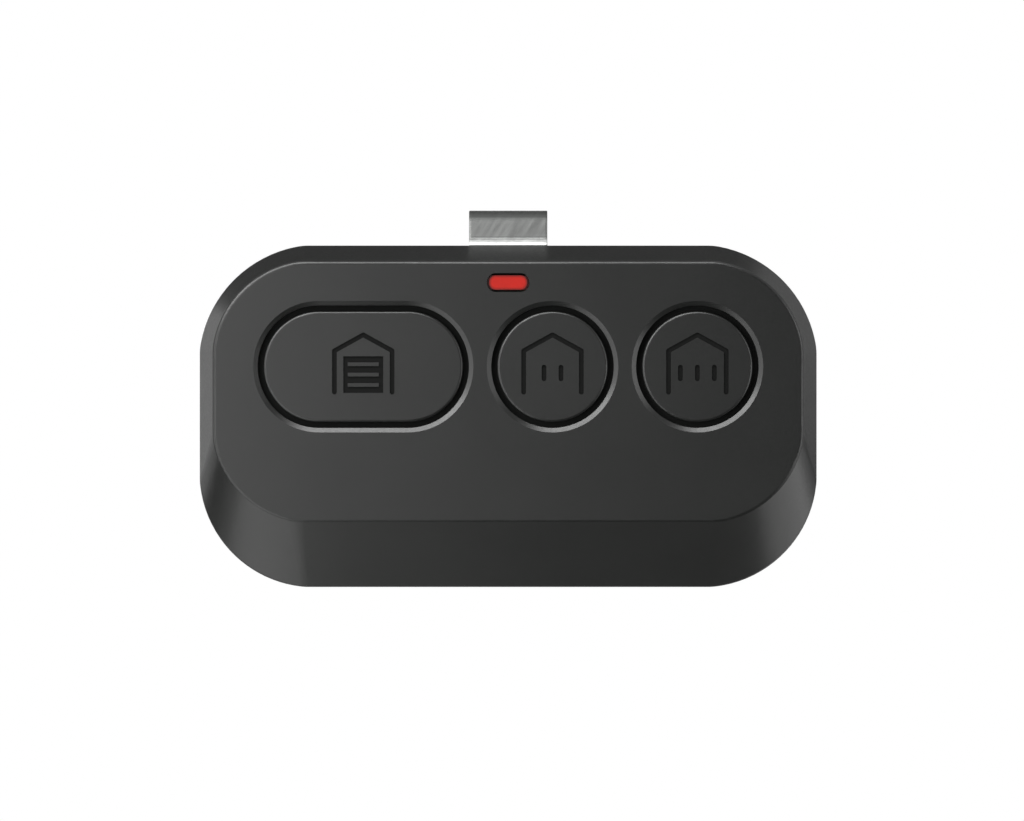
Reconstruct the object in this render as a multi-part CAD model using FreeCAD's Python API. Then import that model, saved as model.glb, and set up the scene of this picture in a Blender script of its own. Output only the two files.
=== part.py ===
import FreeCAD, Part
import math
import os

# Three-button garage door remote with a sun visor clip.
# X runs to the right seen from the front, the buttons face -Y and Z is up.
# The origin is on the flat back of the rear cover, in the middle of the case outline.

# Case outline, seen from the front. Its width follows from the row of caps
case_height = 46.5
case_upper_radius = 16.4
case_lower_radius = 15.6
case_top_reach = 14.15
case_bottom_reach = 14.4
outline_blend = 8.0

# Flat front panel, which sits high in the outline and leaves a wide bevel below
panel_side_bevel = 2.08
panel_top_bevel = 2.32
panel_bottom_bevel = 9.07
panel_corner_radius = 13.6
panel_top_reach = 11.7
panel_bottom_reach = 11.4
panel_edge_round = 0.5
bevel_edge_round = 0.6

# Walls and the split between the case halves
panel_wall = 2.0
side_wall = 1.9
panel_inner_inset = 1.2
rim_height = 1.4
cover_depth = 5.5
cover_wall = 1.8
cover_step = 0.15
cover_taper = 1.1
cover_edge_round = 0.9
lip_height = 1.0
lip_wall = 1.0
lip_gap = 0.2
lip_inset = side_wall + lip_gap
snap_height = 0.12
snap_length = 8.0
snap_width = 0.5
snap_x = 20.0
coin_slot_width = 12.0
coin_slot_height = 1.1
coin_slot_depth = 1.0
label_width = 46.0
label_height = 11.0
label_corner_radius = 2.0
label_depth = 0.25
label_z = -13.5

# Coin cell, its pad, holder and contacts
cell_diameter = 20.0
cell_thickness = 3.2
cell_edge_distance = 11.5
cell_z = 0.0
can_wall = 0.3
can_setback = 0.3
seal_width = 0.85
pad_thickness = 0.5
pad_diameter = 12.0
contact_height = 0.4
contact_sheet = 0.3
holder_gap = 0.2
holder_wall = 1.2
holder_drop = 0.7
holder_notch_gap = 0.5
contact_gap = 0.05
contact_width = 5.0
contact_foot = 2.2
negative_length = 12.0
negative_width = 4.0
negative_dimple = 2.4

# Circuit board
board_thickness = 1.6
board_clearance = 1.15
low_screw_edge_distance = 11.0
low_screw_z = -9.5
high_screw_drop = 3.6
screw_pocket_gap = 0.3
screw_shank_diameter = 1.9
screw_length = 5.0
screw_hole_gap = 0.2
screw_head_diameter = 3.6
screw_head_height = 1.0
screw_slot_width = 0.5
screw_slot_depth = 0.4
boss_diameter = 3.8

# Tact switches
switch_size = 6.0
switch_base_height = 2.0
switch_cover_height = 0.5
plunger_stand = 1.0
plunger_diameter = 3.4
plunger_collar_diameter = 4.4
plunger_collar_height = 0.5
plunger_gap = 0.1
switch_well_gap = 0.2
switch_floor = 0.5
dome_gap = 0.1
dome_sheet = 0.12

# Buttons
cap_margin = 6.82
cap_spacing = 4.6
cap_diameter = 15.0
large_cap_length = 27.0
cap_edge_round = 0.35
cap_top_wall = 1.4
cap_side_wall = 1.3
cap_travel = 0.5
well_gap = 0.8
well_lip = 0.6
well_lip_depth = 0.32
flange_reach = 1.7
flange_thickness = 1.0
collar_gap = 0.15
collar_wall = 0.8
collar_spare = 0.2
post_length = 1.0
post_diameter = 3.2
post_rib = 0.8

# Pictograms engraved in the caps
icon_stroke = 0.64
icon_depth = 0.2
icon_half_width = 3.9
icon_apex_z = 4.3
icon_shoulder_z = 2.15
icon_foot_z = -3.45
icon_bar_length = 1.56
icon_bar_z = -0.86
middle_bar_pitch = 2.3
right_bar_pitch = 2.3
door_width = 5.4
door_top_z = 1.4
door_height = 4.95
door_slot_width = 4.2
door_slot_height = 0.5
door_slot_pitch = 1.4

# Indicator window and its light
lens_drop = 2.83
lens_to_well = 1.2
lens_width = 5.15
lens_height = 1.95
lens_corner_radius = 0.9
lens_gap = 0.3
lens_recess = 0.15
lens_ear = 1.2
lens_ear_thickness = 0.8
pipe_diameter = 1.9
pipe_led_gap = 0.3
led_width = 2.0
led_height = 1.25
led_thickness = 0.8

# Visor clip, a bent strip of spring steel
clip_width = 10.7
clip_sheet = 0.7
clip_rise = 4.9
clip_leg_depth = 11.5
clip_joggle = 1.1
clip_joggle_rise = 0.1
clip_joggle_height = 0.8
clip_joggle_radius = 0.7
clip_bend_radius = 1.3
clip_gap = 5.9
clip_arm_straight = 14.0
clip_arm_radius = 12.0
clip_pinch_gap = 0.25
clip_pinch_z = -1.5
clip_pinch_radius = 3.0
clip_tip_flare = 2.7
clip_tip_z = -8.0
clip_tip_round = 2.5
clip_hole_diameter = 3.0
clip_hole_rise = 4.5
pocket_gap = 0.2
pocket_wall = 1.1
pocket_back = 0.65
pocket_dimple_height = 0.12

# Parts on the back of the board
chip_edge_distance = 29.0
chip_z = 2.0
chip_size = 5.0
chip_height = 0.9
crystal_edge_distance = 19.5
crystal_z = 3.0
crystal_width = 3.2
crystal_length = 2.5
crystal_height = 0.8
capacitor_length = 1.6
capacitor_width = 0.8
capacitor_height = 0.8
capacitor_edge_distance = 27.0
capacitor_z = -6.0
capacitor_pitch = 3.4
capacitor_count = 6
resistor_length = 1.6
resistor_width = 0.8
resistor_height = 0.45
resistor_edge_distance = 27.0
resistor_z = -10.0
resistor_pitch = 3.4
resistor_count = 6
antenna_edge_distance = 6.8
antenna_z = 0.0
antenna_length = 16.0
antenna_rise = 1.6
antenna_wire = 0.8
antenna_bend = 0.9

# Places worked out from the sizes above, from the back to the front
back_y = 0.0
cover_inner_y = back_y - cover_wall
cell_back_y = cover_inner_y - pad_thickness
cell_front_y = cell_back_y - cell_thickness
board_back_y = cell_front_y - contact_height
board_front_y = board_back_y - board_thickness
switch_cover_y = board_front_y - switch_base_height
switch_front_y = switch_cover_y - switch_cover_height
plunger_front_y = switch_front_y - plunger_stand
flange_back_y = plunger_front_y - post_length
panel_back_y = flange_back_y - flange_thickness
front_y = panel_back_y - panel_wall
split_y = back_y - cover_depth
rim_front_y = split_y - rim_height
lip_front_y = split_y - lip_height
inner_rim_y = lip_front_y - lip_gap
panel_width = 2 * cap_margin + large_cap_length + 2 * cap_diameter + 2 * cap_spacing
case_width = panel_width + 2 * panel_side_bevel
half_width = case_width / 2
half_height = case_height / 2
panel_top_z = half_height - panel_top_bevel
panel_bottom_z = panel_bottom_bevel - half_height
lens_z = panel_top_z - lens_drop
well_reach = cap_diameter / 2 + well_gap + well_lip
button_z = lens_z - lens_height / 2 - lens_gap - lens_to_well - well_reach
large_button_x = -panel_width / 2 + cap_margin + large_cap_length / 2
right_button_x = panel_width / 2 - cap_margin - cap_diameter / 2
middle_button_x = right_button_x - cap_diameter - cap_spacing
cell_x = -half_width + cell_edge_distance + cell_diameter / 2
low_screw_x = half_width - low_screw_edge_distance
high_screw_z = panel_top_z - high_screw_drop
pocket_reach = clip_width / 2 + pocket_gap + pocket_wall
pocket_screw_x = -pocket_reach - screw_pocket_gap - screw_head_diameter / 2
right_gap_x = middle_button_x + cap_diameter / 2 + cap_spacing / 2
screw_places = [
    (-low_screw_x, low_screw_z),
    (low_screw_x, low_screw_z),
    (pocket_screw_x, high_screw_z),
    (right_gap_x, high_screw_z),
]
chip_x = half_width - chip_edge_distance
crystal_x = half_width - crystal_edge_distance
capacitor_x = half_width - capacitor_edge_distance
resistor_x = half_width - resistor_edge_distance
antenna_x = half_width - antenna_edge_distance
clip_top_z = half_height + clip_rise
clip_leg_y = cover_inner_y - pocket_back - pocket_gap - clip_sheet / 2
clip_upper_y = clip_leg_y + clip_joggle
clip_arm_y = back_y + clip_gap + clip_sheet / 2
clip_hinge_y = (clip_upper_y + clip_arm_y) / 2
clip_pinch_y = back_y + clip_pinch_gap + clip_sheet / 2
clip_tip_y = clip_pinch_y + clip_tip_flare
switch_well_diameter = plunger_collar_diameter + 2 * switch_well_gap
dome_diameter = switch_well_diameter - 2 * dome_gap
cell_cap_diameter = cell_diameter - 2 * can_wall - 2 * seal_width
holder_height = contact_height + cell_thickness - holder_drop
holder_notch = contact_width + 2 * holder_notch_gap
buttons = [
    ("large", large_button_x, large_cap_length),
    ("middle", middle_button_x, cap_diameter),
    ("right", right_button_x, cap_diameter),
]


def point(x, y, z):
    return FreeCAD.Vector(x, y, z)


def box(x0, x1, y0, y1, z0, z1):
    """A block between two opposite corners."""
    return Part.makeBox(x1 - x0, y1 - y0, z1 - z0, point(x0, y0, z0))


def rod(x, z, diameter, y0, y1):
    """A cylinder along Y."""
    return Part.makeCylinder(diameter / 2, y1 - y0, point(x, y0, z), point(0, 1, 0))


def prism(wire, y_length):
    return Part.Face(wire).extrude(point(0, y_length, 0))


def stadium(x, z, length, height, y0, y1):
    """A bar along Y with round ends, as long as length and as high as height."""
    reach = (length - height) / 2
    if reach <= 0:
        return rod(x, z, height, y0, y1)
    radius = height / 2
    right, left = x + reach, x - reach
    edges = [
        Part.LineSegment(point(left, y0, z + radius), point(right, y0, z + radius)).toShape(),
        Part.Arc(
            point(right, y0, z + radius), point(right + radius, y0, z), point(right, y0, z - radius)
        ).toShape(),
        Part.LineSegment(point(right, y0, z - radius), point(left, y0, z - radius)).toShape(),
        Part.Arc(
            point(left, y0, z - radius), point(left - radius, y0, z), point(left, y0, z + radius)
        ).toShape(),
    ]
    return prism(Part.Wire(edges), y1 - y0)


def rounded_block(x, z, width, height, radius, y0, y1):
    """A block along Y with its four long edges rounded."""
    block = box(x - width / 2, x + width / 2, y0, y1, z - height / 2, z + height / 2)
    along_y = [edge for edge in block.Edges if abs(edge.tangentAt(edge.FirstParameter).y) > 0.9]
    return block.makeFillet(min(radius, height / 2.01), along_y)


def arc_centre(start, end, radius):
    """Centre of the arc from start to end in (x, z), on the side nearer to the case's middle."""
    middle_x = (start[0] + end[0]) / 2
    middle_z = (start[1] + end[1]) / 2
    chord_x = end[0] - start[0]
    chord_z = end[1] - start[1]
    chord = math.hypot(chord_x, chord_z)
    drop = math.sqrt(radius**2 - (chord / 2) ** 2)
    normal_x = -chord_z / chord
    normal_z = chord_x / chord
    if normal_x * middle_x + normal_z * middle_z > 0:
        normal_x, normal_z = -normal_x, -normal_z
    return middle_x + drop * normal_x, middle_z + drop * normal_z


def corner(side_x, edge_z, reach, radius, inset, y):
    """Points of one corner, from its flat edge to its side: a blend, the corner arc and a blend."""
    x_sign = math.copysign(1, side_x)
    z_sign = math.copysign(1, edge_z)
    on_edge = (side_x - x_sign * reach, edge_z)
    on_side = (side_x, edge_z - z_sign * reach)
    centre_x, centre_z = arc_centre(on_edge, on_side, radius)
    arc_radius = radius - inset
    flat_x = side_x - x_sign * inset
    flat_z = edge_z - z_sign * inset
    inner = arc_radius - outline_blend
    edge_blend_z = flat_z - z_sign * outline_blend
    edge_blend_x = centre_x + x_sign * math.sqrt(inner**2 - (edge_blend_z - centre_z) ** 2)
    side_blend_x = flat_x - x_sign * outline_blend
    side_blend_z = centre_z + z_sign * math.sqrt(inner**2 - (side_blend_x - centre_x) ** 2)
    arc_start = math.atan2(edge_blend_z - centre_z, edge_blend_x - centre_x)
    arc_end = math.atan2(side_blend_z - centre_z, side_blend_x - centre_x)
    edge_angle = math.pi / 2 * z_sign
    side_angle = 0 if x_sign > 0 else math.pi * z_sign

    def around(x, z, distance, angle):
        return point(x + distance * math.cos(angle), y, z + distance * math.sin(angle))

    return [
        around(edge_blend_x, edge_blend_z, outline_blend, edge_angle),
        around(edge_blend_x, edge_blend_z, outline_blend, (edge_angle + arc_start) / 2),
        around(centre_x, centre_z, arc_radius, arc_start),
        around(centre_x, centre_z, arc_radius, (arc_start + arc_end) / 2),
        around(centre_x, centre_z, arc_radius, arc_end),
        around(side_blend_x, side_blend_z, outline_blend, (side_angle + arc_end) / 2),
        around(side_blend_x, side_blend_z, outline_blend, side_angle),
    ]


def outline(half, top_z, bottom_z, upper, lower, inset, y):
    """Closed wire of four straight edges and four corners, with the reach and radius of each pair."""
    top_right = corner(half, top_z, *upper, inset, y)
    bottom_right = corner(half, bottom_z, *lower, inset, y)[::-1]
    bottom_left = corner(-half, bottom_z, *lower, inset, y)
    top_left = corner(-half, top_z, *upper, inset, y)[::-1]
    corners = [top_right, bottom_right, bottom_left, top_left]
    edges = []
    for points, following in zip(corners, corners[1:] + corners[:1]):
        for first in (0, 2, 4):
            edges.append(Part.Arc(*points[first : first + 3]))
        edges.append(Part.LineSegment(points[-1], following[0]))
    return Part.Wire([edge.toShape() for edge in edges])


def case_outline(inset, y):
    upper = (case_top_reach, case_upper_radius)
    lower = (case_bottom_reach, case_lower_radius)
    return outline(half_width, half_height, -half_height, upper, lower, inset, y)


def panel_outline(inset, y):
    upper = (panel_top_reach, panel_corner_radius)
    lower = (panel_bottom_reach, panel_corner_radius)
    return outline(panel_width / 2, panel_top_z, panel_bottom_z, upper, lower, inset, y)


def edges_at(shape, y):
    """Edges of a shape that lie in the plane at y."""
    found = []
    for edge in shape.Edges:
        bounds = edge.BoundBox
        if abs(bounds.YMin - y) < 1e-4 and abs(bounds.YMax - y) < 1e-4:
            found.append(edge)
    return found


def front_block():
    """Outside of the front shell: ruled bevel from the panel to the outline, then the straight rim."""
    bevel = Part.makeLoft([panel_outline(0, front_y), case_outline(0, rim_front_y)], True, True)
    rim = prism(case_outline(0, rim_front_y), rim_height)
    block = bevel.fuse(rim).removeSplitter()
    block = block.makeFillet(bevel_edge_round, edges_at(block, rim_front_y))
    return block.makeFillet(panel_edge_round, edges_at(block, front_y))


def front_hollow():
    """Inside of the front shell, which narrows towards the panel as the bevel does."""
    funnel = Part.makeLoft(
        [panel_outline(panel_inner_inset, panel_back_y), case_outline(side_wall, inner_rim_y)],
        True,
        True,
    )
    rim = prism(case_outline(side_wall, inner_rim_y), split_y - inner_rim_y)
    return funnel.fuse(rim).removeSplitter()


def snap_ribs(height):
    """Low ridges along the lip: two on the top, two below and one on each side."""
    y0 = split_y - lip_height / 2 - snap_width / 2
    y1 = y0 + snap_width
    reach_x = half_width - lip_inset
    reach_z = half_height - lip_inset
    ribs = []
    for x in (-snap_x, snap_x):
        x0 = x - snap_length / 2
        x1 = x + snap_length / 2
        ribs.append(box(x0, x1, y0, y1, reach_z - lip_wall / 2, reach_z + height))
        ribs.append(box(x0, x1, y0, y1, -reach_z - height, -reach_z + lip_wall / 2))
    for sign in (-1, 1):
        near = sign * (reach_x - lip_wall / 2)
        far = sign * (reach_x + height)
        ribs.append(box(min(near, far), max(near, far), y0, y1, -snap_length / 2, snap_length / 2))
    return ribs


def well_section(x):
    """Half section of a well at its axis x: open mouth, lip that slopes in, and straight throat."""
    throat = x + cap_diameter / 2 + well_gap
    mouth = throat + well_lip
    corners = [
        point(throat, front_y + well_lip_depth, button_z),
        point(throat, panel_back_y + 1, button_z),
        point(x, panel_back_y + 1, button_z),
        point(x, front_y - 1, button_z),
        point(mouth, front_y - 1, button_z),
        point(mouth, front_y, button_z),
    ]
    return Part.Face(Part.makePolygon(corners + [corners[0]]))


def turned(section, x, angle):
    """The section turned about the axis of its well."""
    copy = section.copy()
    copy.rotate(point(x, 0, button_z), point(0, 1, 0), angle)
    return copy


def well_cutter(x, length):
    """Hole for one cap through the panel, with a sloped lip around its mouth."""
    run = length - cap_diameter
    left, right = x - run / 2, x + run / 2
    along = point(0, 1, 0)
    left_end = turned(well_section(left), left, 90).revolve(point(left, 0, button_z), along, 180)
    right_end = turned(well_section(right), right, -90).revolve(point(right, 0, button_z), along, 180)
    cutter = left_end.fuse(right_end)
    if run > 0:
        for angle in (90, -90):
            side = turned(well_section(left), left, angle).extrude(point(run, 0, 0))
            cutter = cutter.fuse(side)
    return cutter


def collar(x, length):
    """Wall behind the panel that guides the flange of one cap."""
    inner_length = length + 2 * (flange_reach + collar_gap)
    inner_height = cap_diameter + 2 * (flange_reach + collar_gap)
    y1 = flange_back_y + cap_travel + collar_spare
    outer = stadium(
        x, button_z, inner_length + 2 * collar_wall, inner_height + 2 * collar_wall, panel_back_y, y1
    )
    return outer, stadium(x, button_z, inner_length, inner_height, panel_back_y, y1)


def front_shell():
    shell = front_block().cut(front_hollow())
    walls = []
    bores = []
    for _, x, length in buttons:
        wall, bore = collar(x, length)
        walls.append(wall)
        bores.append(bore)
    for x, z in screw_places:
        walls.append(rod(x, z, boss_diameter, panel_back_y - panel_wall / 2, board_front_y))
    for wall in walls:
        shell = shell.fuse(wall)
    for bore in bores:
        shell = shell.cut(bore)
    for _, x, length in buttons:
        shell = shell.cut(well_cutter(x, length))
    for x, z in screw_places:
        shell = shell.cut(rod(x, z, screw_shank_diameter, panel_back_y, board_front_y + 1))
    window = rounded_block(
        0,
        lens_z,
        lens_width + 2 * lens_gap,
        lens_height + 2 * lens_gap,
        lens_corner_radius + lens_gap,
        front_y - 1,
        panel_back_y + 1,
    )
    shell = shell.cut(window)
    for groove in snap_ribs(2 * lip_gap):
        shell = shell.cut(groove)
    return shell.removeSplitter()


def clip_pocket():
    """Block inside the rear cover that holds the leg of the clip."""
    front = clip_leg_y - clip_sheet / 2 - pocket_gap - pocket_wall
    bottom = half_height - clip_leg_depth - pocket_wall
    return box(-pocket_reach, pocket_reach, front, cover_inner_y, bottom, half_height - side_wall)


def clip_slot():
    """Room for the leg, from the floor of the pocket up through the top wall."""
    reach = clip_width / 2 + pocket_gap
    y0 = clip_leg_y - clip_sheet / 2 - pocket_gap
    y1 = clip_leg_y + clip_sheet / 2 + pocket_gap
    return box(-reach, reach, y0, y1, half_height - clip_leg_depth, half_height + 1)


def rear_cover():
    """Back half of the case: a shallow tray with a lip that goes into the front shell."""
    outer = Part.makeLoft(
        [case_outline(cover_step, split_y), case_outline(cover_step + cover_taper, back_y)],
        True,
        True,
    )
    outer = outer.makeFillet(cover_edge_round, edges_at(outer, back_y))
    lip = prism(case_outline(lip_inset, lip_front_y), lip_height)
    inner = prism(case_outline(lip_inset + lip_wall, lip_front_y), cover_inner_y - lip_front_y)
    cover = outer.fuse(lip).cut(inner)
    cover = cover.fuse(clip_pocket()).cut(clip_slot())
    for rib in snap_ribs(snap_height):
        cover = cover.fuse(rib)
    dimple_y = clip_leg_y - clip_sheet / 2 - pocket_gap
    dimple_z = half_height - clip_leg_depth + clip_hole_rise
    dimple_front = dimple_y - pocket_wall / 2
    dimple_back = dimple_y + pocket_dimple_height
    cover = cover.fuse(rod(0, dimple_z, clip_hole_diameter / 2, dimple_front, dimple_back))
    slot = box(
        -coin_slot_width / 2,
        coin_slot_width / 2,
        split_y,
        split_y + coin_slot_height,
        -half_height,
        -half_height + cover_step + coin_slot_depth,
    )
    label = rounded_block(
        0, label_z, label_width, label_height, label_corner_radius, back_y - label_depth, back_y + 1
    )
    return cover.cut(slot).cut(label).removeSplitter()


def stroke(start, end, y0, y1):
    """A straight engraved line with round ends, between two points in (x, z)."""
    length = math.hypot(end[0] - start[0], end[1] - start[1])
    line = stadium(0, 0, length + icon_stroke, icon_stroke, y0, y1)
    angle = math.degrees(math.atan2(end[1] - start[1], end[0] - start[0]))
    line.rotate(point(0, 0, 0), point(0, 1, 0), -angle)
    line.translate(point((start[0] + end[0]) / 2, 0, (start[1] + end[1]) / 2))
    return line


def house_icon(y0, y1):
    """Outline of a garage: two legs and a pitched roof, open below."""
    left_foot = (-icon_half_width, icon_foot_z)
    left_shoulder = (-icon_half_width, icon_shoulder_z)
    apex = (0, icon_apex_z)
    right_shoulder = (icon_half_width, icon_shoulder_z)
    right_foot = (icon_half_width, icon_foot_z)
    corners = [left_foot, left_shoulder, apex, right_shoulder, right_foot]
    lines = [stroke(start, end, y0, y1) for start, end in zip(corners, corners[1:])]
    return lines[0].multiFuse(lines[1:])


def bar_icon(count, pitch, y0, y1):
    """Upright bars side by side in the doorway."""
    bars = []
    for index in range(count):
        x = (index - (count - 1) / 2) * pitch
        low = (x, icon_bar_z - icon_bar_length / 2)
        high = (x, icon_bar_z + icon_bar_length / 2)
        bars.append(stroke(low, high, y0, y1))
    return Part.makeCompound(bars)


def door_icon(y0, y1):
    """Sectional door: a filled field with three raised slats."""
    bottom_z = door_top_z - door_height
    field = box(-door_width / 2, door_width / 2, y0, y1, bottom_z, door_top_z)
    middle_z = (door_top_z + bottom_z) / 2
    for step in (-1, 0, 1):
        z = middle_z + step * door_slot_pitch
        low = z - door_slot_height / 2
        high = z + door_slot_height / 2
        field = field.cut(box(-door_slot_width / 2, door_slot_width / 2, y0, y1, low, high))
    return field


def button(name, x, length):
    """Cap with its flange, hollow back, cross ribs and the post that presses the switch."""
    cap = stadium(x, button_z, length, cap_diameter, front_y, flange_back_y)
    cap = cap.makeFillet(cap_edge_round, edges_at(cap, front_y))
    flange = stadium(
        x,
        button_z,
        length + 2 * flange_reach,
        cap_diameter + 2 * flange_reach,
        panel_back_y,
        flange_back_y,
    )
    cap = cap.fuse(flange)
    hollow_y = front_y + cap_top_wall
    hollow = stadium(
        x,
        button_z,
        length - 2 * cap_side_wall,
        cap_diameter - 2 * cap_side_wall,
        hollow_y,
        flange_back_y,
    )
    rib_length = box(
        x - length / 2, x + length / 2, hollow_y, flange_back_y,
        button_z - post_rib / 2, button_z + post_rib / 2,
    )
    rib_height = box(
        x - post_rib / 2, x + post_rib / 2, hollow_y, flange_back_y,
        button_z - cap_diameter / 2, button_z + cap_diameter / 2,
    )
    ribs = rib_length.fuse(rib_height).common(hollow)
    post = rod(x, button_z, post_diameter, hollow_y, plunger_front_y)
    cap = cap.cut(hollow).fuse(ribs).fuse(post)
    y0 = front_y - 1
    y1 = front_y + icon_depth
    icon = house_icon(y0, y1)
    if name == "large":
        detail = door_icon(y0, y1)
    elif name == "middle":
        detail = bar_icon(2, middle_bar_pitch, y0, y1)
    else:
        detail = bar_icon(3, right_bar_pitch, y0, y1)
    for engraving in (icon, detail):
        engraving.translate(point(x, 0, button_z))
        cap = cap.cut(engraving)
    return cap.removeSplitter()


def status_lens():
    """Red window with two ears behind the panel and a rod that carries the light."""
    window = rounded_block(
        0, lens_z, lens_width, lens_height, lens_corner_radius, front_y + lens_recess, panel_back_y
    )
    ear_reach = lens_width / 2 + lens_gap + lens_ear
    ears = box(
        -ear_reach,
        ear_reach,
        panel_back_y,
        panel_back_y + lens_ear_thickness,
        lens_z - lens_height / 2,
        lens_z + lens_height / 2,
    )
    pipe = rod(0, lens_z, pipe_diameter, panel_back_y, board_front_y - led_thickness - pipe_led_gap)
    return window.fuse(ears).fuse(pipe).removeSplitter()


def status_led():
    return box(
        -led_width / 2,
        led_width / 2,
        board_front_y - led_thickness,
        board_front_y,
        lens_z - led_height / 2,
        lens_z + led_height / 2,
    )


def circuit_board():
    inset = lip_inset + lip_wall + board_clearance
    board = prism(case_outline(inset, board_front_y), board_thickness)
    hole = screw_shank_diameter + 2 * screw_hole_gap
    for x, z in screw_places:
        board = board.cut(rod(x, z, hole, board_front_y - 1, board_back_y + 1))
    return board


def board_screws():
    screws = []
    for x, z in screw_places:
        head = rod(x, z, screw_head_diameter, board_back_y, board_back_y + screw_head_height)
        slot = box(
            x - screw_head_diameter,
            x + screw_head_diameter,
            board_back_y + screw_head_height - screw_slot_depth,
            board_back_y + screw_head_height,
            z - screw_slot_width / 2,
            z + screw_slot_width / 2,
        )
        cross = slot.copy()
        cross.rotate(point(x, 0, z), point(0, 1, 0), 90)
        shank = rod(x, z, screw_shank_diameter, board_back_y - screw_length, board_back_y)
        screws.append(head.fuse(shank).cut(slot).cut(cross).removeSplitter())
    return Part.makeCompound(screws)


def switch_base(x):
    """Square base with the round well that the spring disc lies in."""
    half = switch_size / 2
    base = box(x - half, x + half, switch_cover_y, board_front_y, button_z - half, button_z + half)
    return base.cut(rod(x, button_z, switch_well_diameter, switch_cover_y, board_front_y - switch_floor))


def snap_dome(x):
    """Shallow spring disc between the floor of the well and the plunger."""
    floor_y = board_front_y - switch_floor
    crown_y = plunger_foot_y()
    rise = floor_y - crown_y
    radius = ((dome_diameter / 2) ** 2 + rise**2) / (2 * rise)
    outer = Part.makeSphere(radius, point(x, crown_y + radius, button_z))
    inner = Part.makeSphere(radius, point(x, crown_y + radius + dome_sheet, button_z))
    keep = rod(x, button_z, dome_diameter + 1, crown_y - 1, floor_y)
    return outer.cut(inner).common(keep)


def plunger_foot_y():
    """Where the plunger's collar meets the spring disc at rest."""
    return switch_cover_y + plunger_collar_height


def switch_plunger(x):
    stem = rod(x, button_z, plunger_diameter, plunger_front_y, plunger_foot_y())
    foot = rod(x, button_z, plunger_collar_diameter, switch_cover_y, plunger_foot_y())
    return stem.fuse(foot).removeSplitter()


def switch_cover(x):
    """Metal plate over the base, with the hole that the plunger runs in."""
    half = switch_size / 2
    plate = box(x - half, x + half, switch_front_y, switch_cover_y, button_z - half, button_z + half)
    hole = plunger_diameter + 2 * plunger_gap
    return plate.cut(rod(x, button_z, hole, switch_front_y, switch_cover_y))


def battery_can():
    """Steel cup of the coin cell, open towards the board."""
    rim_y = cell_front_y + can_setback
    cup = rod(cell_x, cell_z, cell_diameter, rim_y, cell_back_y)
    return cup.cut(rod(cell_x, cell_z, cell_diameter - 2 * can_wall, rim_y, cell_back_y - can_wall))


def battery_seal():
    """Plastic ring between the cup and the cap of the cell."""
    y0 = cell_front_y + can_setback
    y1 = cell_back_y - can_wall
    ring = rod(cell_x, cell_z, cell_diameter - 2 * can_wall, y0, y1)
    return ring.cut(rod(cell_x, cell_z, cell_cap_diameter, y0, y1))


def battery_cap():
    """Negative cap of the cell with what it holds."""
    puck = rod(cell_x, cell_z, cell_cap_diameter, cell_front_y, cell_back_y - can_wall)
    return puck.makeFillet(can_setback, edges_at(puck, cell_front_y))


def battery_pad():
    return rod(cell_x, cell_z, pad_diameter, cell_back_y, cover_inner_y)


def battery_holder():
    """Ring around the cell, cut away for the side contact and for a fingertip."""
    inner = cell_diameter + 2 * holder_gap
    outer = inner + 2 * holder_wall
    y1 = board_back_y + holder_height
    ring = rod(cell_x, cell_z, outer, board_back_y, y1).cut(rod(cell_x, cell_z, inner, board_back_y, y1))
    reach = outer / 2 + 1
    half = holder_notch / 2
    notch = box(cell_x, cell_x + reach, board_back_y, y1, cell_z - half, cell_z + half)
    finger = notch.copy()
    finger.rotate(point(cell_x, 0, cell_z), point(0, 1, 0), 90)
    finger.translate(point(0, contact_height + cell_thickness / 4, 0))
    return ring.cut(notch).cut(finger)


def positive_contact():
    """Leaf that stands on the board and lies against the side of the cell."""
    x0 = cell_x + cell_diameter / 2 + contact_gap
    y1 = board_back_y + holder_height
    z0 = cell_z - contact_width / 2
    z1 = cell_z + contact_width / 2
    leaf = box(x0, x0 + contact_sheet, board_back_y, y1, z0, z1)
    foot = box(x0, x0 + contact_foot, board_back_y, board_back_y + contact_sheet, z0, z1)
    return leaf.fuse(foot).removeSplitter()


def negative_contact():
    """Flat strip under the cell with a dimple that touches it."""
    x0 = cell_x - negative_length / 2
    x1 = cell_x + negative_length / 2
    z0 = cell_z - negative_width / 2
    z1 = cell_z + negative_width / 2
    strip = box(x0, x1, board_back_y, board_back_y + contact_sheet, z0, z1)
    dimple = rod(cell_x, cell_z, negative_dimple, board_back_y, cell_front_y)
    return strip.fuse(dimple).removeSplitter()


def chip(x, z, width, length, height):
    """A flat part soldered to the back of the board."""
    y1 = board_back_y + height
    return box(x - width / 2, x + width / 2, board_back_y, y1, z - length / 2, z + length / 2)


def chip_row(x, z, pitch, count, width, length, height):
    """Parts side by side, centred on x."""
    chips = []
    for index in range(count):
        place = x + (index - (count - 1) / 2) * pitch
        chips.append(chip(place, z, width, length, height))
    return Part.makeCompound(chips)


def loop_antenna():
    """Wire that stands on two legs and runs along the right edge of the board."""
    top_y = board_back_y + antenna_rise
    z0 = antenna_z - antenna_length / 2
    z1 = antenna_z + antenna_length / 2
    corners = [(board_back_y, z0), (top_y, z0), (top_y, z1), (board_back_y, z1)]
    radii = [antenna_bend, antenna_bend]
    wire = Part.Wire(bent_path(corners, radii, antenna_x))
    circle = Part.Circle(point(antenna_x, board_back_y, z0), point(0, 1, 0), antenna_wire / 2)
    return wire.makePipeShell([Part.Wire([circle.toShape()])], True, False)


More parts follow.
